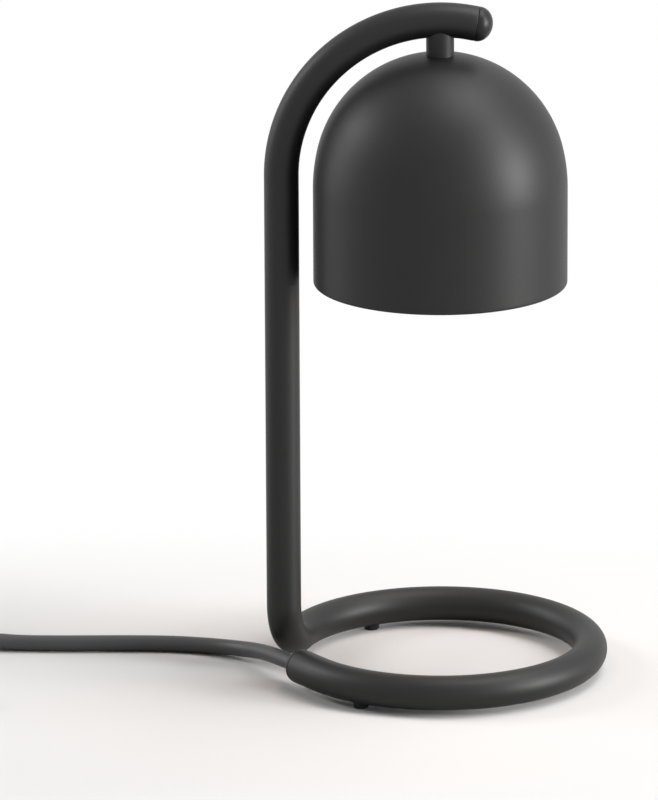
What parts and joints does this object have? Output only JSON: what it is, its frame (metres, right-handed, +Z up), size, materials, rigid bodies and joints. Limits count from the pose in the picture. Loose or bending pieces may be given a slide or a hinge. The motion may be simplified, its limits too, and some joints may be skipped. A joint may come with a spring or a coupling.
{
  "type": "candle warmer lamp",
  "caption": "Candle warmer lamp: a bent tube forms a ring base, riser and arm, with a dome shade over a twist-lock halogen bulb and an in-line dimmer on its cord.",
  "frame": {"origin": "on the table at the centre of the ring base, straight under the shade and the bulb, where a candle stands", "axes": "+Z up along the shade's axis; +X from the riser towards the shade and the arm's tip; +Y away from the side the open ring end is seen on"},
  "size_m": [0.466, 0.1692, 0.3177],
  "materials": {
    "black_powder_coat": "matte powder coat",
    "black_plastic": "matte",
    "black_rubber": "matte",
    "zinc_plated_steel": "bright zinc plating",
    "ceramic": "glazed porcelain, opaque",
    "brass": "plain",
    "nickel_plated_brass": "nickel plated",
    "cord_jacket": "satin",
    "lead_insulation": "silicone",
    "glass_sleeve": "braided glass fibre",
    "circuit_board": "solder mask",
    "potentiometer_plastic": "matte",
    "black_gloss_plastic": "semi-gloss",
    "yellow_plastic": "semi-gloss",
    "ferrite": "matte, with copper winding",
    "grey_plastic": "matte",
    "black_plug_plastic": "matte",
    "frosted_glass": "moulded",
    "reflector_glass": "dichroic coated",
    "clear_glass": "clear",
    "tungsten": "drawn wire"
  },
  "bodies": {
    "lamp": {"frame_tube": "black_powder_coat", "arm_end_cap": "black_plastic", "cord_bush": "black_rubber", "rubber_feet": "black_rubber", "shade_stem": "black_powder_coat", "threaded_nipple": "zinc_plated_steel", "shade": "black_powder_coat", "shade_washer": "zinc_plated_steel", "lock_nut": "zinc_plated_steel", "holder_bracket": "zinc_plated_steel", "lamp_holder": "ceramic", "lamp_contacts": "brass", "holder_screws": "zinc_plated_steel", "inner_cord": "cord_jacket", "inner_leads": "lead_insulation", "lead_sleeves": "glass_sleeve", "cord_lamp_side": "cord_jacket", "cord_to_coil": "cord_jacket", "cord_coil": "cord_jacket", "cord_to_plug": "cord_jacket", "dimmer_base": "black_plastic", "dimmer_cover": "black_plastic", "dimmer_reliefs": "black_rubber", "dimmer_screws": "zinc_plated_steel", "dimmer_board": "circuit_board", "dimmer_potentiometer": "potentiometer_plastic", "dimmer_triac": "black_gloss_plastic", "dimmer_capacitor": "yellow_plastic", "dimmer_choke": "ferrite", "plug_body": "black_plug_plastic", "plug_blades": "nickel_plated_brass"},
    "bulb": {"bulb_cap": "frosted_glass", "bulb_pins": "nickel_plated_brass", "bulb_reflector": "reflector_glass", "bulb_front_glass": "clear_glass", "bulb_capsule": "clear_glass", "bulb_filament": "tungsten"},
    "wheel": {"dimmer_wheel": "grey_plastic", "dimmer_shaft": "potentiometer_plastic"}
  },
  "joints": [
    {"name": "bulb_twist", "type": "hinge", "parent": "lamp", "child": "bulb", "pos_m": [0, 0, 0.257], "axis": [0, 0, -1], "range_deg": [0, 35]},
    {"name": "dimmer_turn", "type": "hinge", "parent": "lamp", "child": "wheel", "pos_m": [-0.291, 0.0245, 0.009], "axis": [0, 0, 1], "range_deg": [0, 270]}
  ]
}
